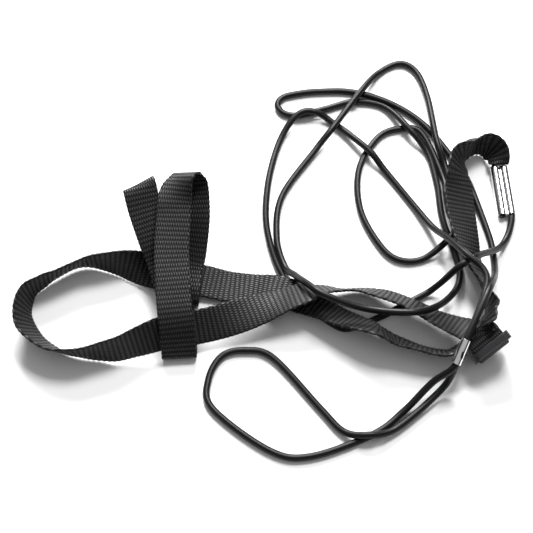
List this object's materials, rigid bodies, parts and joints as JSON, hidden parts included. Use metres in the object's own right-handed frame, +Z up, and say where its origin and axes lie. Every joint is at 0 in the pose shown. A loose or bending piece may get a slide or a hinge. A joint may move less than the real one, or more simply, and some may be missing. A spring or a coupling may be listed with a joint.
{
  "type": "pet harness with elastic cord lead",
  "caption": "Ribbed webbing harness with a keeper loop and a slide adjuster, on a thin elastic cord lead with a crimp sleeve and a looped end.",
  "frame": {"origin": "on the surface it lies on, under the middle of the webbing's box", "axes": "+X along the harness towards the slider, +Y away from the hand loop, +Z up"},
  "size_m": [0.2194, 0.2, 0.0318],
  "materials": {
    "webbing": "ribbed black nylon webbing",
    "slider_plastic": "satin black moulded plastic",
    "thread": "black sewing thread",
    "metal": "bright plated metal",
    "cord": "satin black elastic cord"
  },
  "bodies": {
    "harness": {"main_webbing": "webbing", "adjuster_stitch": "thread", "crimp_sleeve": "metal", "elastic_cord": "cord", "cord_ferrule": "metal"},
    "keeper": {"keeper_loop": "webbing", "keeper_stitch": "thread"},
    "slider": {"slide_adjuster": "slider_plastic"}
  },
  "joints": [
    {"name": "keeper_slide", "type": "slide", "parent": "harness", "child": "keeper", "axis": [1, 0, 0], "range_m": [-0.001, 0.002]},
    {"name": "slider_shift", "type": "slide", "parent": "harness", "child": "slider", "axis": [-0.5994, 0.771, 0.2151], "range_m": [0, 0.002]}
  ]
}
